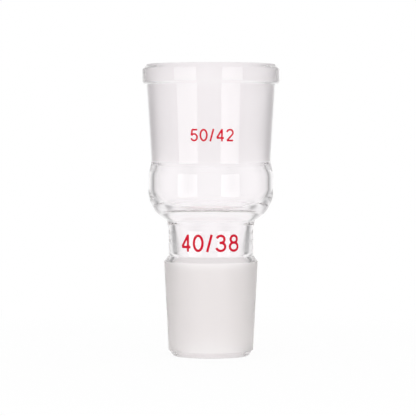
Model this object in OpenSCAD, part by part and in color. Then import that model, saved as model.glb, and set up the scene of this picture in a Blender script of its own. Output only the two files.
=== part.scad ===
// Ground-joint expansion adapter in blown laboratory glass: a large ground socket above,
// a swollen bulb, a short neck and a smaller ground cone below, all one piece round one bore.
// Millimetres, +Z up, the axis of the bore is Z and the cone's tip stands on Z = 0.

/* [Ground joints] */
// Taper of both joints, as diameter lost for each millimetre of length
joint_taper = 0.1; // [0.06:0.01:0.12]
// Inner diameter of the ground socket at its mouth
socket_d = 50; // [46:0.5:60]
// Length of the ground zone inside the socket
socket_len = 42; // [30:1:60]
// Outer diameter of the ground cone at its shoulder
cone_d = 40; // [38:0.5:44]
// Length of the ground zone on the cone
cone_len = 38; // [20:1:60]

/* [Barrel and bead] */
// Wall of the mouth at the flat rim
rim_wall = 2.6; // [1.5:0.1:3.5]
// Wall of the barrel just under the bead
barrel_wall = 2.8; // [1.5:0.1:3.5]
// Wall of the barrel at its waist, where the ground zone ends
waist_wall = 2.45; // [1.5:0.05:3.5]
// Height of the bead's round wall
bead_h = 6.4; // [3:0.1:12]
// How far the bead stands out of the barrel
bead_proud = 1.9; // [1:0.1:4]
// Height of the bevel above the bead
bead_bevel_h = 1.1; // [0.5:0.1:2]
// Height of the plain rim above the bevel
rim_h = 0.8; // [0.4:0.1:2]
// How far the plain rim draws in on its way up
rim_draft = 0.3; // [0:0.1:0.6]
// Lead-in round the socket's mouth
mouth_ease = 0.5; // [0.2:0.1:0.8]

/* [Bulb] */
// How far the bulb swells out of the waist
bulb_swell = 1.3; // [0.5:0.1:4]
// Height of the bulb, from the corner of its shoulder to the ground zone
bulb_h = 20.2; // [18:0.1:32]
// Wall of the bulb at its widest
bulb_wall = 2.15; // [1.5:0.05:2.8]
// Radius of the shoulder outside, where the bulb turns in to the neck
shoulder_r = 15.5; // [6:0.5:18]
// Radius of the shoulder inside
floor_r = 12; // [6:0.5:14]
// Height of the floor inside over the shoulder's corner outside
floor_rise = 3.6; // [3:0.1:5]
// Height that the bulb takes to swell out below the ground zone
swell_h = 5; // [3:0.5:7]
// Height of the waist outside over the foot of the ground zone
waist_rise = 0.8; // [0:0.1:2]

/* [Throat and neck] */
// Outer diameter of the neck
neck_d = 36.2; // [34:0.1:37]
// Length of the neck, from the cone's shoulder to the crease under the bulb
neck_len = 14.9; // [10:0.1:30]
// How far the neck flares out up to the crease
neck_flare = 0.75; // [0.2:0.05:1.5]
// Height of that flare
neck_flare_h = 4; // [1:0.1:6]
// Height of the bulb's foot, from the crease to the shoulder's corner
foot_h = 4.4; // [4:0.1:7]
// Wall of the neck at its top
neck_wall = 2.5; // [1.5:0.1:3]
// Wall of the neck at the cone's shoulder
neck_foot_wall = 3.75; // [2:0.05:4.5]
// Bore at the lip, where the bulb's floor turns down over the seal with the neck's tube
lip_d = 38.4; // [36:0.1:42]
// Height of that lip over the crease outside
lip_rise = 5.3; // [4.5:0.1:6.3]
// Rounding of the lip
lip_r = 2.2; // [1:0.1:5]
// Bore of the throat inside the seal
throat_d = 34.4; // [33:0.1:36]
// Height over the crease outside where the throat starts to narrow to the neck
throat_rise = 2.1; // [1.4:0.1:3]
// How far under the crease the throat has narrowed to the neck
throat_drop = 1.6; // [0.8:0.1:3]

/* [Cone and tip] */
// Wall of the cone
cone_wall = 2.8; // [1.5:0.1:3.5]
// Height of the step from the ground zone up to the neck
cone_step_h = 2.5; // [1.5:0.1:5]
// How far under that step the bore starts to narrow
bore_step_drop = 1.8; // [1:0.1:3]
// How far over that step the bore has narrowed to the neck
bore_step_rise = 0.7; // [0.5:0.1:2]
// Length of the polished tip below the ground zone
tip_len = 2.4; // [1.5:0.1:6]
// How far the tip's bevel cuts into the wall
tip_bevel = 1.8; // [0.5:0.1:2.1]

/* [Edges] */
// Rounding that the flame leaves on a small edge
fire_r = 0.6; // [0.3:0.1:0.8]
// Rounding of the bead's lower edge
bead_r = 1.2; // [0.5:0.1:2]
// Rounding where the bulb swells and the barrel has its waist
swell_r = 12; // [6:1:16]
// Rounding where the neck starts to flare
flare_r = 4; // [2:0.5:6]
// Rounding at both ends of the cone's step
step_r = 0.9; // [0.5:0.1:1.5]
// Rounding in the bottom of the crease under the bulb
crease_r = 1.6; // [0.8:0.1:2.5]
// Rounding at both ends of the throat's taper down to the neck
throat_r = 1.4; // [0.6:0.1:2]
// Rounding of the bore where it steps from the cone to the neck
bore_r = 3.5; // [1:0.5:5]

/* [Smoothness] */
// Angle of arc that one straight stretch of the outline spans
arc_step = 7.5; // [3:0.5:15]
// Sides of the full turn
turn_sides = 96; // [48:8:180]

/* [Hidden] */

// Radius lost for each millimetre of length along a joint
slope = joint_taper / 2;
// Length by which the bore's cutter runs past each end
overrun = 5;

// Heights, from the tip up
z_cone_foot = tip_len;
z_cone_top = z_cone_foot + cone_len;
z_neck_foot = z_cone_top + cone_step_h;
z_crease = z_neck_foot + neck_len;
z_shoulder = z_crease + foot_h;
z_socket_foot = z_shoulder + bulb_h;
z_rim = z_socket_foot + socket_len;
z_bevel = z_rim - rim_h;
z_bead_top = z_bevel - bead_bevel_h;
z_bead_foot = z_bead_top - bead_h;
z_waist = z_socket_foot + waist_rise;
z_lip = z_crease + lip_rise;
z_throat = z_crease + throat_rise;
z_neck_head = z_crease - throat_drop;
z_bore_step = z_cone_top - bore_step_drop;
z_bore_neck = z_neck_foot + bore_step_rise;

// Radii of the ground zones
function socket_r(z) = socket_d / 2 - slope * (z_rim - z);
function cone_r(z) = cone_d / 2 - slope * (z_cone_top - z);

// Radii outside
r_rim = socket_r(z_rim) + rim_wall;
r_barrel = socket_r(z_bead_foot) + barrel_wall;
r_bead = r_barrel + bead_proud;
r_waist = socket_r(z_waist) + waist_wall;
r_bulb = r_waist + bulb_swell;
r_neck = neck_d / 2;
r_crease = r_neck + neck_flare;
r_tip = cone_r(z_cone_foot);

// Radii inside
r_bulb_bore = r_bulb - bulb_wall;
r_neck_bore = r_neck - neck_wall;
r_neck_foot_bore = r_neck - neck_foot_wall;

function unit(v) = v / norm(v);

// Place of corner i of a closed path of corners [radius, height, rounding]
function place(p, i) = let (c = p[(i + len(p)) % len(p)]) [c.x, c.y];

// Half of the angle between the two sides that meet in corner i
function half_angle(p, i) =
    let (b = place(p, i), u = unit(place(p, i - 1) - b), v = unit(place(p, i + 1) - b))
    acos(max(-1, min(1, u * v))) / 2;

// How far the rounding of corner i would reach along its sides
function wanted(p, i) = p[(i + len(p)) % len(p)].z / tan(half_angle(p, i));

// Part of that reach that corner i has on its side to corner j: two roundings that would meet share the side
function share(p, i, j) =
    let (side = norm(place(p, i) - place(p, j)))
    min(1, 0.98 * side / max(wanted(p, i) + wanted(p, j), side / 2));

// Arc at corner i
function arc(p, i) =
    let (b = place(p, i), u = unit(place(p, i - 1) - b), v = unit(place(p, i + 1) - b))
    let (reach = wanted(p, i) * min(share(p, i, i - 1), share(p, i, i + 1)))
    let (half = half_angle(p, i), centre = b + unit(u + v) * reach / cos(half))
    let (from = b + u * reach - centre, sweep = 180 - 2 * half)
    let (turn = cross(u, v) > 0 ? -sweep : sweep, steps = max(1, ceil(sweep / arc_step)))
    [for (i = [0 : steps])
        let (t = turn * i / steps)
        centre + [from.x * cos(t) - from.y * sin(t), from.x * sin(t) + from.y * cos(t)]];

// Outline through the corners; a corner with no rounding stays sharp
function rounded(p) = [for (i = [0 : len(p) - 1]) each (p[i].z == 0 ? [place(p, i)] : arc(p, i))];

// Outside of the glass, from the tip up to the rim, as half a section
module outside() {
    polygon(rounded([
        [0, 0, 0],
        [r_tip - tip_bevel, 0, fire_r],
        [r_tip, z_cone_foot, fire_r],
        [cone_r(z_cone_top), z_cone_top, step_r],
        [r_neck, z_neck_foot, step_r],
        [r_neck, z_crease - neck_flare_h, flare_r],
        [r_crease, z_crease, crease_r],
        [r_bulb, z_shoulder, shoulder_r],
        [r_bulb, z_socket_foot - swell_h, swell_r],
        [r_waist, z_waist, swell_r],
        [r_barrel, z_bead_foot, fire_r],
        [r_bead, z_bead_foot, bead_r],
        [r_bead, z_bead_top, fire_r],
        [r_rim + rim_draft, z_bevel, fire_r],
        [r_rim, z_rim, fire_r],
        [0, z_rim, 0]
    ]));
}

// Bore from below the tip to above the rim: cone, neck, throat, lip, bulb and ground socket
module bore() {
    polygon(rounded([
        [0, -overrun, 0],
        [cone_r(-overrun) - cone_wall, -overrun, 0],
        [cone_r(z_bore_step) - cone_wall, z_bore_step, bore_r],
        [r_neck_foot_bore, z_bore_neck, bore_r],
        [r_neck_bore, z_neck_head, throat_r],
        [throat_d / 2, z_throat, throat_r],
        [lip_d / 2, z_lip, lip_r],
        [r_bulb_bore, z_shoulder + floor_rise, floor_r],
        [r_bulb_bore, z_socket_foot - swell_h, swell_r - bulb_wall],
        [socket_r(z_socket_foot), z_socket_foot, 0],
        [socket_r(z_rim) - slope * mouth_ease, z_rim - mouth_ease, fire_r],
        [socket_r(z_rim) + mouth_ease, z_rim, 0],
        [socket_r(z_rim) + mouth_ease, z_rim + overrun, 0],
        [0, z_rim + overrun, 0]
    ]));
}

// The whole adapter, one wall of blown glass turned round its bore
module glass_adapter() {
    color([0.9, 0.94, 0.95, 0.45])
        rotate_extrude($fn = turn_sides)
            difference() {
                outside();
                bore();
            }
}

glass_adapter();
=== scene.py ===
"""Looks of the ground-joint glass adapter: its blown wall, its ground zones and its enamel figures."""

import logging
import math
from dataclasses import dataclass
from enum import Enum

import bpy
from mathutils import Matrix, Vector


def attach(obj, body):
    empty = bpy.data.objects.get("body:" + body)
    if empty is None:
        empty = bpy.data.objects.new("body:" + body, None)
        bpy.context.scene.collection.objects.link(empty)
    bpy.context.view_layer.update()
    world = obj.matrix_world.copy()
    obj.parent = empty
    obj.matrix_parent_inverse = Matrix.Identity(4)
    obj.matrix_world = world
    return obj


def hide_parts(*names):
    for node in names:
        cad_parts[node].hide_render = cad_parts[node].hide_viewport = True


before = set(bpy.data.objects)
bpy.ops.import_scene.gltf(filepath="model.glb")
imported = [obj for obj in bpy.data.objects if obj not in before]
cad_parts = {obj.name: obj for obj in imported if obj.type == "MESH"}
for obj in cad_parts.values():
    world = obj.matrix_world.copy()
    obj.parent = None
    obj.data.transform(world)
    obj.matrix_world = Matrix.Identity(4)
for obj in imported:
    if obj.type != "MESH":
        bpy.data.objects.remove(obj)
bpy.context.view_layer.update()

LOG = logging.getLogger("glass_adapter")
NODE = "glass_adapter"
BODY = "root"
MM = 0.001
SAME_PLACE = MM / 100
WELD = MM / 200
FIGURE_ARC_DEG = 12
FULL_TURN = 2 * math.pi
# Part of a side that two roundings may take up together, so that they never meet
SIDE_IN_USE = 0.98

Point = tuple[float, float]


class Slot(Enum):
    """Names of the record's material slots for the clear glass and the red enamel."""

    CLEAR_GLASS = "clear_glass"
    RED_ENAMEL = "red_enamel"


class Zone(Enum):
    """Zones of the wall that have a finish of their own, numbered in the order of its materials."""

    CLEAR = 0
    SOCKET = 1
    CONE = 2
    SEAL = 3


def linear(hex_colour: str) -> tuple[float, float, float, float]:
    """Turns an sRGB hex colour into linear red, green, blue and alpha.

    Args:
        hex_colour: Six hex digits, with or without a leading hash.

    Returns:
        The linear colour with an alpha of one.
    """
    digits = hex_colour.lstrip("#")
    shares = [int(digits[i : i + 2], 16) / 255 for i in (0, 2, 4)]
    red, green, blue = (s / 12.92 if s <= 0.04045 else ((s + 0.055) / 1.055) ** 2.4 for s in shares)
    return red, green, blue, 1.0


def add_node(
    tree: bpy.types.NodeTree, kind: str, inputs: dict | None = None, **settings: object
) -> bpy.types.Node:
    """Adds a node with its settings, values and links.

    Args:
        tree: The node tree that takes the node.
        kind: The node's type name.
        inputs: Values by input name or number; an output socket there is linked.
        settings: Properties of the node itself.

    Returns:
        The new node.
    """
    node = tree.nodes.new(kind)
    for name, value in settings.items():
        setattr(node, name, value)
    for key, value in (inputs or {}).items():
        if isinstance(value, bpy.types.NodeSocket):
            tree.links.new(value, node.inputs[key])
        else:
            node.inputs[key].default_value = value
    return node


def new_material(name: str) -> tuple[bpy.types.Material, bpy.types.NodeTree, bpy.types.Node]:
    """Makes an empty node material.

    Args:
        name: The material's name.

    Returns:
        The material, its node tree and its output node.
    """
    material = bpy.data.materials.new(name)
    material.use_nodes = True
    material.node_tree.nodes.clear()
    output = add_node(material.node_tree, "ShaderNodeOutputMaterial")
    return material, material.node_tree, output


@dataclass(frozen=True)
class FirePolishedBorosilicate:
    """Borosilicate glass, drawn and blown in a flame: clear, smooth and faintly streaked lengthwise.

    Where a tool and the flame worked it soft, ripples are left in it, which blur what shows through.
    """

    name: str = "fire_polished_borosilicate"
    ior: float = 1.474
    tint: str = "#FCFAFB"
    ripple: float = 0.0
    ripple_z: float = 0.0
    ripple_reach: float = 1.0
    ripple_full_share: float = 0.3
    streak_mm: float = 1.6
    streak_length_mm: float = 83.333
    streak_height_mm: float = 0.0008

    def material(self) -> bpy.types.Material:
        """Makes the clear glass. Its bump is the streak that drawn tubing keeps, too low to blur a line.

        Returns:
            The material.
        """
        material, tree, output = new_material(self.name)
        place = add_node(tree, "ShaderNodeTexCoord").outputs["Object"]
        across, along = 1 / (self.streak_mm * MM), 1 / (self.streak_length_mm * MM)
        stretched = add_node(
            tree, "ShaderNodeMapping", {"Vector": place, "Scale": (across, across, along)}
        )
        streak = add_node(
            tree, "ShaderNodeTexNoise", {"Vector": stretched.outputs["Vector"], "Scale": 1.0, "Detail": 1.0}
        )
        bump = add_node(
            tree,
            "ShaderNodeBump",
            {"Height": streak.outputs["Fac"], "Strength": 1.0, "Distance": self.streak_height_mm * MM},
        )
        glass = add_node(
            tree,
            "ShaderNodeBsdfPrincipled",
            {
                "Base Color": linear(self.tint),
                "Roughness": self.ripples(tree, place) if self.ripple else 0.0,
                "IOR": self.ior,
                "Transmission Weight": 1.0,
                "Normal": bump.outputs["Normal"],
            },
        )
        tree.links.new(glass.outputs["BSDF"], output.inputs["Surface"])
        return material

    def ripples(self, tree: bpy.types.NodeTree, place: bpy.types.NodeSocket) -> bpy.types.NodeSocket:
        """Adds the nodes for the ripples, as a roughness that fades out above and below their middle.

        Args:
            tree: The node tree.
            place: The Object coordinates.

        Returns:
            The roughness.
        """
        height = add_node(tree, "ShaderNodeSeparateXYZ", {"Vector": place}).outputs["Z"]
        above = add_node(
            tree, "ShaderNodeMath", {0: height, 1: self.ripple_z * MM}, operation="SUBTRACT"
        )
        away = add_node(tree, "ShaderNodeMath", {0: above.outputs["Value"]}, operation="ABSOLUTE")
        fade = add_node(
            tree,
            "ShaderNodeMapRange",
            {
                "Value": away.outputs["Value"],
                "From Min": self.ripple_full_share * self.ripple_reach * MM,
                "From Max": self.ripple_reach * MM,
                "To Min": self.ripple,
                "To Max": 0.0,
            },
            interpolation_type="SMOOTHSTEP",
        )
        return fade.outputs["Result"]


@dataclass(frozen=True)
class GroundJointMatte:
    """Glass ground with grit on a turning mandrel: an even satin matte that scatters what shows through.

    Its grit is drawn coarser than the real tenth of a millimetre, to show at all. Where the grinding
    runs out, from full_z down to smooth_z, it is smoother.
    """

    name: str
    ior: float = 1.474
    roughness: float = 0.55
    roughness_spread: float = 0.04
    haze: float = 0.25
    haze_colour: str = "#F7F3F2"
    grit_mm: float = 0.35
    grit_height_mm: float = 0.006
    grit_strength: float = 0.6
    turning_mm: float = 0.5
    turning_length_mm: float = 33.333
    smooth_share: float = 1.0
    smooth_z: float = 0.0
    full_z: float = 1.0

    def material(self) -> bpy.types.Material:
        """Makes the ground matte, with its grit and the fine rings that turning leaves.

        Returns:
            The material.
        """
        material, tree, output = new_material(self.name)
        place = add_node(tree, "ShaderNodeTexCoord").outputs["Object"]
        grit = add_node(
            tree, "ShaderNodeTexNoise", {"Vector": place, "Scale": 1 / (self.grit_mm * MM), "Detail": 2.0}
        )
        around, upwards = 1 / (self.turning_length_mm * MM), 1 / (self.turning_mm * MM)
        flattened = add_node(
            tree, "ShaderNodeMapping", {"Vector": place, "Scale": (around, around, upwards)}
        )
        turning = add_node(
            tree,
            "ShaderNodeTexNoise",
            {"Vector": flattened.outputs["Vector"], "Scale": 1.0, "Detail": 3.0},
        )
        relief = add_node(
            tree, "ShaderNodeMath", {0: grit.outputs["Fac"], 1: turning.outputs["Fac"]}, operation="ADD"
        )
        bump = add_node(
            tree,
            "ShaderNodeBump",
            {
                "Height": relief.outputs["Value"],
                "Strength": self.grit_strength,
                "Distance": self.grit_height_mm * MM,
            },
        )
        satin = add_node(
            tree,
            "ShaderNodeMapRange",
            {
                "Value": turning.outputs["Fac"],
                "To Min": self.roughness - self.roughness_spread,
                "To Max": self.roughness + self.roughness_spread,
            },
        ).outputs["Result"]
        matte = add_node(
            tree,
            "ShaderNodeBsdfPrincipled",
            {
                "Base Color": linear(self.haze_colour),
                "Roughness": self.run_out(tree, place, satin) if self.smooth_share < 1 else satin,
                "IOR": self.ior,
                "Transmission Weight": 1.0 - self.haze,
                "Normal": bump.outputs["Normal"],
            },
        )
        tree.links.new(matte.outputs["BSDF"], output.inputs["Surface"])
        return material

    def run_out(
        self, tree: bpy.types.NodeTree, place: bpy.types.NodeSocket, satin: bpy.types.NodeSocket
    ) -> bpy.types.NodeSocket:
        """Adds the nodes that smooth the matte where the grinding runs out.

        Args:
            tree: The node tree.
            place: The Object coordinates.
            satin: The roughness of the full matte.

        Returns:
            The roughness with its run-out.
        """
        height = add_node(tree, "ShaderNodeSeparateXYZ", {"Vector": place}).outputs["Z"]
        bite = add_node(
            tree,
            "ShaderNodeMapRange",
            {
                "Value": height,
                "From Min": self.smooth_z * MM,
                "From Max": self.full_z * MM,
                "To Min": self.smooth_share,
                "To Max": 1.0,
            },
            interpolation_type="SMOOTHSTEP",
        )
        bitten = add_node(
            tree, "ShaderNodeMath", {0: satin, 1: bite.outputs["Result"]}, operation="MULTIPLY"
        )
        return bitten.outputs["Value"]


@dataclass(frozen=True)
class FiredRedEnamel:
    """Ceramic ink screened on the glass and fired: an opaque, deep red film, uneven and of little gloss."""

    colour: str = "#B4001A"
    thin_colour: str = "#CC1636"
    roughness: float = 0.32
    ior: float = 1.52
    gloss: float = 0.06
    film_patch_mm: float = 1.2
    film_relief_mm: float = 0.01
    film_strength: float = 0.4

    def material(self) -> bpy.types.Material:
        """Makes the enamel. Its red is paler where the film is thin, in patches of about a millimetre.

        Returns:
            The material.
        """
        material, tree, output = new_material("fired_red_enamel")
        place = add_node(tree, "ShaderNodeTexCoord").outputs["Object"]
        film = add_node(
            tree,
            "ShaderNodeTexNoise",
            {"Vector": place, "Scale": 1 / (self.film_patch_mm * MM), "Detail": 2.0},
        )
        shade = add_node(
            tree,
            "ShaderNodeMix",
            {"Factor": film.outputs["Fac"], "A": linear(self.colour), "B": linear(self.thin_colour)},
            data_type="RGBA",
        )
        bump = add_node(
            tree,
            "ShaderNodeBump",
            {
                "Height": film.outputs["Fac"],
                "Strength": self.film_strength,
                "Distance": self.film_relief_mm * MM,
            },
        )
        enamel = add_node(
            tree,
            "ShaderNodeBsdfPrincipled",
            {
                "Base Color": shade.outputs["Result"],
                "Roughness": self.roughness,
                "IOR": self.ior,
                "Specular IOR Level": self.gloss,
                "Normal": bump.outputs["Normal"],
            },
        )
        tree.links.new(enamel.outputs["BSDF"], output.inputs["Surface"])
        return material


@dataclass(frozen=True)
class Corner:
    """One corner of a half section: its radius from the axis, height and rounding, in millimetres."""

    radius: float
    height: float
    rounding: float = 0.0

    def place(self) -> Vector:
        """Gives the corner's place in the XZ plane, in metres."""
        return Vector((self.radius * MM, 0.0, self.height * MM))


@dataclass
class AdapterSection:
    """Half section of the adapter from its driving sizes, in millimetres, tip at height 0."""

    joint_taper: float = 0.1
    socket_d: float = 50.0
    socket_len: float = 42.0
    cone_d: float = 40.0
    cone_len: float = 38.0
    rim_wall: float = 2.6
    barrel_wall: float = 2.8
    waist_wall: float = 2.45
    bead_h: float = 6.4
    bead_proud: float = 1.9
    bead_bevel_h: float = 1.1
    rim_h: float = 0.8
    rim_draft: float = 0.3
    mouth_ease: float = 0.5
    bulb_swell: float = 1.3
    bulb_h: float = 20.2
    bulb_wall: float = 2.15
    shoulder_r: float = 15.5
    floor_r: float = 12.0
    floor_rise: float = 3.6
    swell_h: float = 5.0
    waist_rise: float = 0.8
    neck_d: float = 36.2
    neck_len: float = 14.9
    neck_flare: float = 0.75
    neck_flare_h: float = 4.0
    foot_h: float = 4.4
    neck_wall: float = 2.5
    neck_foot_wall: float = 3.75
    lip_d: float = 38.4
    lip_rise: float = 5.3
    lip_r: float = 2.2
    throat_d: float = 34.4
    throat_rise: float = 2.1
    throat_drop: float = 1.6
    cone_wall: float = 2.8
    cone_step_h: float = 2.5
    bore_step_drop: float = 1.8
    bore_step_rise: float = 0.7
    tip_len: float = 2.4
    tip_bevel: float = 1.8
    fire_r: float = 0.6
    bead_r: float = 1.2
    swell_r: float = 12.0
    flare_r: float = 4.0
    step_r: float = 0.9
    crease_r: float = 1.6
    throat_r: float = 1.4
    bore_r: float = 3.5

    def __post_init__(self) -> None:
        """Works out the heights from the tip up."""
        self.z_cone_foot = self.tip_len
        self.z_cone_top = self.z_cone_foot + self.cone_len
        self.z_neck_foot = self.z_cone_top + self.cone_step_h
        self.z_crease = self.z_neck_foot + self.neck_len
        self.z_shoulder = self.z_crease + self.foot_h
        self.z_socket_foot = self.z_shoulder + self.bulb_h
        self.z_rim = self.z_socket_foot + self.socket_len
        self.z_bevel = self.z_rim - self.rim_h
        self.z_bead_top = self.z_bevel - self.bead_bevel_h
        self.z_bead_foot = self.z_bead_top - self.bead_h
        self.z_waist = self.z_socket_foot + self.waist_rise

    def socket_r(self, z: float) -> float:
        """Gives the radius of the ground socket at height z."""
        return self.socket_d / 2 - self.joint_taper / 2 * (self.z_rim - z)

    def cone_r(self, z: float) -> float:
        """Gives the radius of the ground cone at height z."""
        return self.cone_d / 2 - self.joint_taper / 2 * (self.z_cone_top - z)

    def barrel_r(self, z: float) -> float:
        """Gives the barrel's radius outside at height z, between the waist and the bead."""
        return self.r_waist + self.barrel_slope * (z - self.z_waist)

    @property
    def r_neck(self) -> float:
        """Gives the neck's radius outside."""
        return self.neck_d / 2

    @property
    def r_barrel(self) -> float:
        """Gives the barrel's radius outside, under the bead."""
        return self.socket_r(self.z_bead_foot) + self.barrel_wall

    @property
    def r_waist(self) -> float:
        """Gives the waist's radius outside."""
        return self.socket_r(self.z_waist) + self.waist_wall

    @property
    def barrel_slope(self) -> float:
        """Gives how much the barrel's radius grows for each millimetre of height."""
        return (self.r_barrel - self.r_waist) / (self.z_bead_foot - self.z_waist)

    def outside(self) -> list[Corner]:
        """Lists the corners of the outside.

        Returns:
            The corners from the tip up to the rim.
        """
        r_tip = self.cone_r(self.z_cone_foot)
        r_bead = self.r_barrel + self.bead_proud
        r_bulb = self.r_waist + self.bulb_swell
        r_rim = self.socket_r(self.z_rim) + self.rim_wall
        return [
            Corner(r_tip - self.tip_bevel, 0, self.fire_r),
            Corner(r_tip, self.z_cone_foot, self.fire_r),
            Corner(self.cone_r(self.z_cone_top), self.z_cone_top, self.step_r),
            Corner(self.r_neck, self.z_neck_foot, self.step_r),
            Corner(self.r_neck, self.z_crease - self.neck_flare_h, self.flare_r),
            Corner(self.r_neck + self.neck_flare, self.z_crease, self.crease_r),
            Corner(r_bulb, self.z_shoulder, self.shoulder_r),
            Corner(r_bulb, self.z_socket_foot - self.swell_h, self.swell_r),
            Corner(self.r_waist, self.z_waist, self.swell_r),
            Corner(self.r_barrel, self.z_bead_foot, self.fire_r),
            Corner(r_bead, self.z_bead_foot, self.bead_r),
            Corner(r_bead, self.z_bead_top, self.fire_r),
            Corner(r_rim + self.rim_draft, self.z_bevel, self.fire_r),
            Corner(r_rim, self.z_rim, self.fire_r),
        ]

    def bore(self) -> list[Corner]:
        """Lists the corners of the bore.

        Returns:
            The corners from the rim down to the tip.
        """
        r_mouth = self.socket_r(self.z_rim)
        r_mouth_foot = r_mouth - self.joint_taper / 2 * self.mouth_ease
        r_bulb_bore = self.r_waist + self.bulb_swell - self.bulb_wall
        z_bore_step = self.z_cone_top - self.bore_step_drop
        return [
            Corner(r_mouth + self.mouth_ease, self.z_rim),
            Corner(r_mouth_foot, self.z_rim - self.mouth_ease, self.fire_r),
            Corner(self.socket_r(self.z_socket_foot), self.z_socket_foot),
            Corner(r_bulb_bore, self.z_socket_foot - self.swell_h, self.swell_r - self.bulb_wall),
            Corner(r_bulb_bore, self.z_shoulder + self.floor_rise, self.floor_r),
            Corner(self.lip_d / 2, self.z_crease + self.lip_rise, self.lip_r),
            Corner(self.throat_d / 2, self.z_crease + self.throat_rise, self.throat_r),
            Corner(self.r_neck - self.neck_wall, self.z_crease - self.throat_drop, self.throat_r),
            Corner(self.r_neck - self.neck_foot_wall, self.z_neck_foot + self.bore_step_rise, self.bore_r),
            Corner(self.cone_r(z_bore_step) - self.cone_wall, z_bore_step, self.bore_r),
            Corner(self.cone_r(0) - self.cone_wall, 0),
        ]


def draw_wire(name: str, points: list[Vector], closed: bool) -> bpy.types.Object:
    """Draws a wire through points, by extruding one vertex from each to the next.

    Args:
        name: The new object's name.
        points: The places of the vertices, in metres.
        closed: Whether the last point joins the first.

    Returns:
        The wire as a mesh object at the origin, in object mode.
    """
    bpy.ops.object.select_all(action="DESELECT")
    bpy.ops.mesh.primitive_plane_add(size=1.0)
    wire = bpy.context.object
    wire.name = name
    bpy.ops.object.mode_set(mode="EDIT")
    bpy.ops.mesh.select_mode(type="VERT")
    bpy.ops.mesh.merge(type="CENTER")
    bpy.ops.transform.translate(value=points[0])
    for previous, point in zip(points, points[1:]):
        bpy.ops.mesh.extrude_region_move(TRANSFORM_OT_translate={"value": point - previous})
    bpy.ops.object.mode_set(mode="OBJECT")
    if closed:
        for vertex in wire.data.vertices:
            to_ends = [(vertex.co - end).length for end in (points[0], points[-1])]
            vertex.select = min(to_ends) < SAME_PLACE
        bpy.ops.object.mode_set(mode="EDIT")
        bpy.ops.mesh.edge_face_add()
        bpy.ops.object.mode_set(mode="OBJECT")
    return wire


def apply_modifier(piece: bpy.types.Object, kind: str, **settings: object) -> None:
    """Adds a modifier to a piece and applies it.

    Args:
        piece: The mesh object.
        kind: The modifier's type.
        settings: The modifier's properties.
    """
    modifier = piece.modifiers.new(kind.title(), kind)
    for name, value in settings.items():
        setattr(modifier, name, value)
    bpy.context.view_layer.objects.active = piece
    bpy.ops.object.modifier_apply(modifier=modifier.name)


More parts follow.
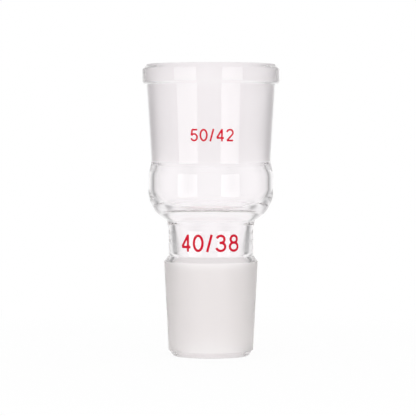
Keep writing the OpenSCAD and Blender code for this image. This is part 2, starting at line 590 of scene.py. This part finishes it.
@dataclass
class GlassWall:
    """The blown wall of the adapter: one closed half section, rounded and spun round the bore.

    Lengths are in millimetres. A margin is how far a face of a ground zone may lie from its cone, and the
    run-out is the stretch round the socket's foot over which the grinding bites less.
    """

    section: AdapterSection
    turn_steps: int = 256
    arc_step_deg: float = 4.0
    smooth_deg: float = 14.0
    socket_margin: float = 0.4
    cone_margin: float = 0.6
    run_out_below: float = 1.4
    run_out_above: float = 11.6
    seal_rise: float = 4.0
    seal_reach: float = 5.2

    def build(self) -> bpy.types.Object:
        """Models the wall and dresses it.

        Returns:
            The finished piece.
        """
        corners = self.section.outside() + self.section.bore()
        wall = draw_wire("blown_glass_wall", [c.place() for c in corners], closed=True)
        for index, reach in enumerate(self.reaches(corners)):
            if reach:
                self.round_corner(wall, corners, index, reach)
        self.spin(wall)
        self.dress(wall)
        return wall

    def half_angle(self, corners: list[Corner], index: int) -> float:
        """Gives half of the angle between the two sides that meet in a corner."""
        here, after = corners[index].place(), corners[(index + 1) % len(corners)].place()
        return (corners[index - 1].place() - here).angle(after - here) / 2

    def reaches(self, corners: list[Corner]) -> list[float]:
        """Works out how far each rounding reaches along its sides.

        Args:
            corners: The corners of the closed section.

        Returns:
            The reaches in metres; two that would meet on a side share it in proportion.
        """
        wanted = [c.rounding * MM / math.tan(self.half_angle(corners, i)) for i, c in enumerate(corners)]
        reaches = []
        for index, reach in enumerate(wanted):
            share = 1.0
            for other in (index - 1, (index + 1) % len(corners)):
                side = (corners[index].place() - corners[other].place()).length
                share = min(share, SIDE_IN_USE * side / max(reach + wanted[other], side / 2))
            reaches.append(reach * share)
        return reaches

    def round_corner(
        self, wall: bpy.types.Object, corners: list[Corner], index: int, reach: float
    ) -> None:
        """Rounds one corner of the wire with a circular arc, by a bevel whose profile suits the turn.

        Args:
            wall: The wire.
            corners: The corners of the section.
            index: Which corner to round.
            reach: How far the arc reaches along both sides, in metres.
        """
        here = corners[index].place()
        turn = math.pi - 2 * self.half_angle(corners, index)
        circular = (1 - 1 / (2 + 2 * math.cos(turn / 2))) ** 2
        nearest = min(wall.data.vertices, key=lambda vertex: (vertex.co - here).length)
        for vertex in wall.data.vertices:
            vertex.select = vertex == nearest
        for edge in wall.data.edges:
            edge.select = False
        bpy.ops.object.mode_set(mode="EDIT")
        bpy.ops.mesh.bevel(
            offset_type="OFFSET",
            offset=reach,
            segments=max(3, math.ceil(math.degrees(turn) / self.arc_step_deg)),
            profile=circular,
            affect="VERTICES",
            clamp_overlap=False,
        )
        bpy.ops.object.mode_set(mode="OBJECT")

    def spin(self, wall: bpy.types.Object) -> None:
        """Spins the closed outline a full turn round the bore and turns its faces outwards.

        Args:
            wall: The rounded wire, which becomes the wall.
        """
        bpy.ops.object.mode_set(mode="EDIT")
        bpy.ops.mesh.select_all(action="SELECT")
        bpy.ops.mesh.spin(steps=self.turn_steps, angle=FULL_TURN, center=(0, 0, 0), axis=(0, 0, 1))
        bpy.ops.mesh.select_all(action="SELECT")
        bpy.ops.mesh.remove_doubles(threshold=WELD)
        bpy.ops.mesh.normals_make_consistent(inside=False)
        bpy.ops.object.mode_set(mode="OBJECT")

    @property
    def seal_z(self) -> float:
        """Gives the height of the middle of the seal's ripples."""
        return self.section.z_crease + self.seal_rise

    def finishes(self) -> dict[Zone, FirePolishedBorosilicate | GroundJointMatte]:
        """Gives each zone its finish.

        The socket's index is lower than the glass's own. It stands in for the light that ground pits let
        through past the critical angle, which keeps the edges of the barrel pale. The seal's inside is clear
        glass that keeps the ripples of its working.

        Returns:
            The finishes by zone.
        """
        return {
            Zone.CLEAR: FirePolishedBorosilicate(),
            Zone.SOCKET: GroundJointMatte(
                "ground_socket_matte",
                ior=1.3,
                roughness=0.45,
                haze=0.08,
                haze_colour="#FFFCFD",
                smooth_share=0.62,
                smooth_z=self.section.z_socket_foot - self.run_out_below,
                full_z=self.section.z_socket_foot + self.run_out_above,
            ),
            Zone.CONE: GroundJointMatte("ground_cone_matte"),
            Zone.SEAL: FirePolishedBorosilicate(
                "worked_seal", ripple=0.13, ripple_z=self.seal_z, ripple_reach=self.seal_reach
            ),
        }

    def zone(self, face: bpy.types.MeshPolygon) -> Zone:
        """Tells which zone a face of the wall lies in.

        Args:
            face: The face.

        Returns:
            The zone, from the face's place and, at the seal, the side of the wall that it is on.
        """
        section = self.section
        height, radius = face.center.z / MM, face.center.xy.length / MM
        in_socket = section.z_socket_foot < height < section.z_rim - section.mouth_ease
        if in_socket and radius < section.socket_r(height) + self.socket_margin:
            return Zone.SOCKET
        on_cone = section.z_cone_foot < height < section.z_cone_top
        if on_cone and radius > section.cone_r(height) - self.cone_margin:
            return Zone.CONE
        faces_bore = face.normal.xy.dot(face.center.xy) < 0
        if faces_bore and abs(height - self.seal_z) < self.seal_reach:
            return Zone.SEAL
        return Zone.CLEAR

    def dress(self, wall: bpy.types.Object) -> None:
        """Gives the wall its clear and ground finishes, and smooth shading.

        Args:
            wall: The wall.
        """
        finishes = self.finishes()
        for zone in Zone:
            wall.data.materials.append(finishes[zone].material())
        for face in wall.data.polygons:
            face.material_index = self.zone(face).value
        bpy.ops.object.select_all(action="DESELECT")
        wall.select_set(True)
        bpy.context.view_layer.objects.active = wall
        bpy.ops.object.shade_smooth_by_angle(angle=math.radians(self.smooth_deg))
        apply_modifier(wall, "WEIGHTED_NORMAL", keep_sharp=True, weight=90)
        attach(wall, BODY)
        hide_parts(NODE)


def arc(centre: Point, reach: Point, start: float, end: float) -> list[Point]:
    """Lists points along an upright ellipse's arc.

    Args:
        centre: The ellipse's centre.
        reach: Its half width and half height.
        start: The first angle in degrees, from the right, anticlockwise.
        end: The last angle; less than start goes clockwise.

    Returns:
        The points, evenly spread.
    """
    steps = max(2, round(abs(end - start) / FIGURE_ARC_DEG))
    angles = [math.radians(start + (end - start) * i / steps) for i in range(steps + 1)]
    return [(centre[0] + reach[0] * math.cos(a), centre[1] + reach[1] * math.sin(a)) for a in angles]


@dataclass(frozen=True)
class Glyph:
    """One figure as the centre lines of its strokes, in shares of its height."""

    width: float
    strokes: list[list[Point]]


# The figures that the joint sizes need, drawn with one even stroke as on a screened mark
GLYPHS = {
    "0": Glyph(0.65, [arc((0.325, 0.5), (0.26, 0.435), 0, 360)]),
    "2": Glyph(
        0.67,
        [arc((0.325, 0.69), (0.255, 0.245), 168, -38) + [(0.09, 0.075)], [(0.065, 0.065), (0.61, 0.065)]],
    ),
    "3": Glyph(
        0.67,
        [
            arc((0.32, 0.725), (0.225, 0.21), 165, -90),
            arc((0.325, 0.30), (0.265, 0.235), 90, -165),
            [(0.25, 0.525), (0.34, 0.525)],
        ],
    ),
    "4": Glyph(
        0.66,
        [
            [(0.48, 0.0), (0.48, 0.99)],
            [(0.47, 0.94), (0.075, 0.29)],
            [(0.055, 0.27), (0.65, 0.27)],
        ],
    ),
    "5": Glyph(
        0.61,
        [
            [(0.565, 0.935), (0.13, 0.935)],
            [(0.15, 0.94), (0.08, 0.47)],
            arc((0.30, 0.33), (0.245, 0.265), 150, -162),
        ],
    ),
    "8": Glyph(
        0.66, [arc((0.33, 0.73), (0.215, 0.205), 0, 360), arc((0.33, 0.30), (0.265, 0.235), 0, 360)]
    ),
    "/": Glyph(0.38, [[(0.06, 0.0), (0.32, 1.0)]]),
}


@dataclass
class SizeFigures:
    """A joint's size figures, screened on the glass in red and fired.

    The stroke and the gap are shares of the height. Other sizes are in millimetres, and the offset runs
    along the glass from the front to the right.
    """

    name: str
    text: str
    height: float
    z_centre: float
    offset: float
    stroke: float
    glass_r: float
    glass_slope: float = 0.0
    gap: float = 0.145
    film_mm: float = 0.08
    voxels_across: int = 9

    def build(self, enamel: bpy.types.Material) -> bpy.types.Object:
        """Models the figures and lays them on the glass.

        Args:
            enamel: The enamel's material.

        Returns:
            The finished piece.
        """
        figures = self.draw()
        self.merge(figures)
        self.wrap(figures)
        figures.data.materials.append(enamel)
        bpy.ops.object.shade_smooth()
        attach(figures, BODY)
        return figures

    def draw(self) -> bpy.types.Object:
        """Draws the strokes as round rods in the XZ plane, centred on the origin.

        Returns:
            All the rods as one mesh.
        """
        width = sum(GLYPHS[c].width for c in self.text) + self.gap * (len(self.text) - 1)
        left, rods = -width / 2, []
        for character in self.text:
            for stroke in GLYPHS[character].strokes:
                closed = math.dist(stroke[0], stroke[-1]) < 1e-6
                line = stroke[:-1] if closed else stroke
                points = [Vector((left + x, 0, y - 0.5)) * self.height * MM for x, y in line]
                rods.append(self.rod(points, closed))
            left += GLYPHS[character].width + self.gap
        bpy.ops.object.select_all(action="DESELECT")
        for rod in rods:
            rod.select_set(True)
        bpy.context.view_layer.objects.active = rods[0]
        bpy.ops.object.join()
        rods[0].name = self.name
        return rods[0]

    def rod(self, points: list[Vector], closed: bool) -> bpy.types.Object:
        """Makes one stroke as a round rod.

        Args:
            points: The stroke's centre line, in metres.
            closed: Whether the stroke is a loop.

        Returns:
            The rod's mesh.
        """
        wire = draw_wire("stroke", points, closed)
        bpy.ops.object.convert(target="CURVE")
        wire.data.bevel_depth = self.stroke / 2 * self.height * MM
        wire.data.bevel_resolution = 4
        wire.data.use_fill_caps = True
        bpy.ops.object.convert(target="MESH")
        return wire

    def merge(self, figures: bpy.types.Object) -> None:
        """Melts the rods of each figure into one skin and flattens it to the film's thickness.

        Args:
            figures: The rods.
        """
        voxel = self.stroke * self.height * MM / self.voxels_across
        apply_modifier(figures, "REMESH", mode="VOXEL", voxel_size=voxel)
        apply_modifier(figures, "SMOOTH", factor=0.5, iterations=4)
        bpy.ops.object.mode_set(mode="EDIT")
        bpy.ops.mesh.select_all(action="SELECT")
        bpy.ops.transform.resize(value=(1, self.film_mm / (self.stroke * self.height), 1))
        bpy.ops.object.mode_set(mode="OBJECT")

    def wrap(self, figures: bpy.types.Object) -> None:
        """Bends the film round the glass and moves it to its place.

        Args:
            figures: The flat figures, centred on the origin and facing the front.
        """
        bend = figures.dimensions.x / (self.glass_r * MM)
        apply_modifier(figures, "SIMPLE_DEFORM", deform_method="BEND", deform_axis="Z", angle=bend)
        bpy.ops.object.mode_set(mode="EDIT")
        bpy.ops.mesh.select_all(action="SELECT")
        bpy.ops.transform.translate(value=(0, -self.glass_r * MM, 0))
        bpy.ops.transform.rotate(
            value=-self.offset / self.glass_r, orient_axis="Z", center_override=(0, 0, 0)
        )
        bpy.ops.object.mode_set(mode="OBJECT")
        if self.glass_slope:
            taper = self.glass_slope * figures.dimensions.z / (self.glass_r * MM)
            apply_modifier(figures, "SIMPLE_DEFORM", deform_method="TAPER", deform_axis="Z", factor=taper)
        bpy.ops.object.mode_set(mode="EDIT")
        bpy.ops.mesh.select_all(action="SELECT")
        bpy.ops.transform.translate(value=(0, 0, self.z_centre * MM))
        bpy.ops.object.mode_set(mode="OBJECT")


@dataclass
class Studio:
    """The plain pale set: a white floor, a white sky with four grey strips, two soft boxes and the camera.

    Lengths are in metres. The grey strips stand upright at the corners, and glass shows them as dark lines.
    """

    disc_r: float = 0.24
    disc_sides: int = 128
    disc_z: float = -0.05 * MM
    glow_from_share: float = 0.5
    glow_to_share: float = 0.95
    floor_glow: float = 0.93
    far_grey: float = 0.33
    white_within_deg: float = 12.0
    grey_beyond_deg: float = 42.0
    grey_below_deg: float = 14.0
    white_above_deg: float = 37.0
    middle_z: float = 0.065
    lamp_distance: float = 1.2
    lamp_height_deg: float = 32.0
    lamp_radiance: float = 2.7
    bounces: int = 32
    eye_height: float = 0.0938
    eye_distance: float = 0.860
    eye_left: float = 0.00124
    pitch_deg: float = 2.05
    field_width: float = 0.178

    def build(self) -> None:
        """Makes the floor, the sky, the lamps and the camera, and lets light cross the glass many times."""
        self.build_floor()
        self.build_sky()
        self.build_lamp("left", azimuth=-44, width_deg=38)
        self.build_lamp("right", azimuth=36, width_deg=35)
        self.build_camera()
        cycles = bpy.context.scene.cycles
        cycles.max_bounces = cycles.transmission_bounces = cycles.glossy_bounces = self.bounces

    def tone(self, tree: bpy.types.NodeTree, away: bpy.types.NodeSocket) -> bpy.types.NodeSocket:
        """Adds the nodes for the set's tone in one direction: white but for the four grey strips.

        Args:
            tree: The node tree.
            away: The direction, seen from the object.

        Returns:
            The tone, where one is white.
        """
        unit = add_node(tree, "ShaderNodeVectorMath", {0: away}, operation="NORMALIZE")
        height = add_node(tree, "ShaderNodeSeparateXYZ", {"Vector": unit.outputs["Vector"]})
        steep = add_node(tree, "ShaderNodeMath", {0: height.outputs["Z"]}, operation="ABSOLUTE")
        over = add_node(
            tree,
            "ShaderNodeMapRange",
            {
                "Value": steep.outputs["Value"],
                "From Min": math.sin(math.radians(self.grey_below_deg)),
                "From Max": math.sin(math.radians(self.white_above_deg)),
            },
            interpolation_type="SMOOTHSTEP",
        )
        level = add_node(tree, "ShaderNodeVectorMath", {0: away, 1: (1, 1, 0)}, operation="MULTIPLY")
        turned = add_node(tree, "ShaderNodeVectorMath", {0: level.outputs["Vector"]}, operation="NORMALIZE")
        size = add_node(tree, "ShaderNodeVectorMath", {0: turned.outputs["Vector"]}, operation="ABSOLUTE")
        parts = add_node(tree, "ShaderNodeSeparateXYZ", {"Vector": size.outputs["Vector"]})
        nearest = add_node(
            tree, "ShaderNodeMath", {0: parts.outputs["X"], 1: parts.outputs["Y"]}, operation="MAXIMUM"
        )
        beside = add_node(
            tree,
            "ShaderNodeMapRange",
            {
                "Value": nearest.outputs["Value"],
                "From Min": math.cos(math.radians(self.grey_beyond_deg)),
                "From Max": math.cos(math.radians(self.white_within_deg)),
            },
            interpolation_type="SMOOTHSTEP",
        )
        lit = add_node(
            tree,
            "ShaderNodeMath",
            {0: beside.outputs["Result"], 1: over.outputs["Result"]},
            operation="MAXIMUM",
        )
        tone = add_node(
            tree, "ShaderNodeMapRange", {"Value": lit.outputs["Value"], "To Min": self.far_grey}
        )
        return tone.outputs["Result"]

    def build_floor(self) -> None:
        """Makes the floor, a disc of matt white paper that takes the object's shadow.

        The camera sees it white with that shadow, and glass sees the set's own tones in it.
        """
        bpy.ops.object.select_all(action="DESELECT")
        bpy.ops.mesh.primitive_circle_add(
            vertices=self.disc_sides, radius=self.disc_r, fill_type="NGON", location=(0, 0, self.disc_z)
        )
        floor = bpy.context.object
        floor.name = "floor"
        material, tree, output = new_material("white_paper_floor")
        place = add_node(tree, "ShaderNodeTexCoord").outputs["Object"]
        distance = add_node(tree, "ShaderNodeVectorMath", {0: place}, operation="LENGTH")
        rim = add_node(
            tree,
            "ShaderNodeMapRange",
            {
                "Value": distance.outputs["Value"],
                "From Min": self.glow_from_share * self.disc_r,
                "From Max": self.glow_to_share * self.disc_r,
                "To Min": self.floor_glow,
                "To Max": 1.0,
            },
            interpolation_type="SMOOTHSTEP",
        )
        rays = add_node(tree, "ShaderNodeLightPath").outputs
        away = add_node(
            tree, "ShaderNodeVectorMath", {0: place, 1: (0, 0, self.middle_z)}, operation="SUBTRACT"
        )
        strength = add_node(
            tree,
            "ShaderNodeMath",
            {0: self.tone(tree, away.outputs["Vector"]), 1: rays["Is Camera Ray"]},
            operation="MAXIMUM",
        )
        in_glass = add_node(
            tree,
            "ShaderNodeMath",
            {0: rays["Is Glossy Ray"], 1: rays["Is Transmission Ray"]},
            operation="MAXIMUM",
        )
        to_camera = add_node(
            tree,
            "ShaderNodeMath",
            {0: rays["Is Camera Ray"], 1: rim.outputs["Result"]},
            operation="MULTIPLY",
        )
        glow_share = add_node(
            tree,
            "ShaderNodeMath",
            {0: in_glass.outputs["Value"], 1: to_camera.outputs["Value"]},
            operation="MAXIMUM",
        )
        paper = add_node(tree, "ShaderNodeBsdfDiffuse", {"Color": linear("#F4F4F4")})
        glow = add_node(tree, "ShaderNodeEmission", {"Strength": strength.outputs["Value"]})
        surface = add_node(
            tree,
            "ShaderNodeMixShader",
            {0: glow_share.outputs["Value"], 1: paper.outputs["BSDF"], 2: glow.outputs["Emission"]},
        )
        below = add_node(tree, "ShaderNodeNewGeometry").outputs["Backfacing"]
        clear = add_node(tree, "ShaderNodeBsdfTransparent")
        shown = add_node(
            tree,
            "ShaderNodeMixShader",
            {0: below, 1: surface.outputs["Shader"], 2: clear.outputs["BSDF"]},
        )
        tree.links.new(shown.outputs["Shader"], output.inputs["Surface"])
        material.cycles.emission_sampling = "NONE"
        floor.data.materials.append(material)

    def build_sky(self) -> None:
        """Makes the sky: white to the camera, and the set's own tones for light and glass."""
        world = bpy.data.worlds.new("studio")
        bpy.context.scene.world = world
        world.use_nodes = True
        tree = world.node_tree
        tree.nodes.clear()
        away = add_node(tree, "ShaderNodeTexCoord").outputs["Generated"]
        rays = add_node(tree, "ShaderNodeLightPath").outputs
        strength = add_node(
            tree,
            "ShaderNodeMath",
            {0: self.tone(tree, away), 1: rays["Is Camera Ray"]},
            operation="MAXIMUM",
        )
        sky = add_node(
            tree, "ShaderNodeBackground", {"Color": (1, 1, 1, 1), "Strength": strength.outputs["Value"]}
        )
        add_node(tree, "ShaderNodeOutputWorld", {"Surface": sky.outputs["Background"]})

    def build_lamp(self, side: str, azimuth: float, width_deg: float) -> None:
        """Makes one soft box, level with the object's middle and facing it.

        Args:
            side: The side of the camera that it stands on.
            azimuth: Degrees to the right of the front, seen from above the camera.
            width_deg: How wide the box looks from the object.
        """
        turn = math.radians(azimuth)
        away = Vector((math.sin(turn), -math.cos(turn), 0))
        middle = Vector((0, 0, self.middle_z))
        bpy.ops.object.light_add(type="AREA", location=middle + away * self.lamp_distance)
        lamp = bpy.context.object
        lamp.name = f"soft_box_{side}"
        lamp.visible_transmission = False
        lamp.rotation_euler = away.to_track_quat("Z", "Y").to_euler()
        lamp.data.shape = "RECTANGLE"
        lamp.data.size = 2 * self.lamp_distance * math.tan(math.radians(width_deg / 2))
        lamp.data.size_y = 2 * self.lamp_distance * math.tan(math.radians(self.lamp_height_deg / 2))
        lamp.data.energy = self.lamp_radiance * math.pi * lamp.data.size * lamp.data.size_y

    def build_camera(self) -> None:
        """Sets the camera a little over the figures' height, looking slightly down."""
        bpy.ops.object.camera_add(location=(-self.eye_left, -self.eye_distance, self.eye_height))
        camera = bpy.context.object
        camera.rotation_euler = (math.radians(90 - self.pitch_deg), 0, 0)
        camera.data.sensor_width = 36.0
        camera.data.lens = camera.data.sensor_width * self.eye_distance / self.field_width
        camera.data.clip_start = 0.01
        bpy.context.scene.camera = camera


def main() -> None:
    """Builds the set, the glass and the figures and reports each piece."""
    logging.basicConfig(level=logging.INFO, format="%(name)s: %(message)s")
    scene = bpy.context.scene
    scene.view_settings.view_transform = "Standard"
    Studio().build()
    section = AdapterSection()
    wall = GlassWall(section).build()
    enamel = FiredRedEnamel().material()
    upper_z, lower_z = section.z_socket_foot + 11.8, section.z_neck_foot + 5.9
    socket_size = SizeFigures(
        name="figures_50_42",
        text="50/42",
        height=5.2,
        z_centre=upper_z,
        offset=0.54,
        stroke=0.145,
        glass_r=section.barrel_r(upper_z),
        glass_slope=section.barrel_slope,
    ).build(enamel)
    cone_size = SizeFigures(
        name="figures_40_38",
        text="40/38",
        height=7.3,
        z_centre=lower_z,
        offset=-0.58,
        stroke=0.15,
        glass_r=section.r_neck,
    ).build(enamel)
    for piece in (wall, socket_size, cone_size):
        LOG.info("%s: %d faces", piece.name, len(piece.data.polygons))


if __name__ == "__main__":
    main()
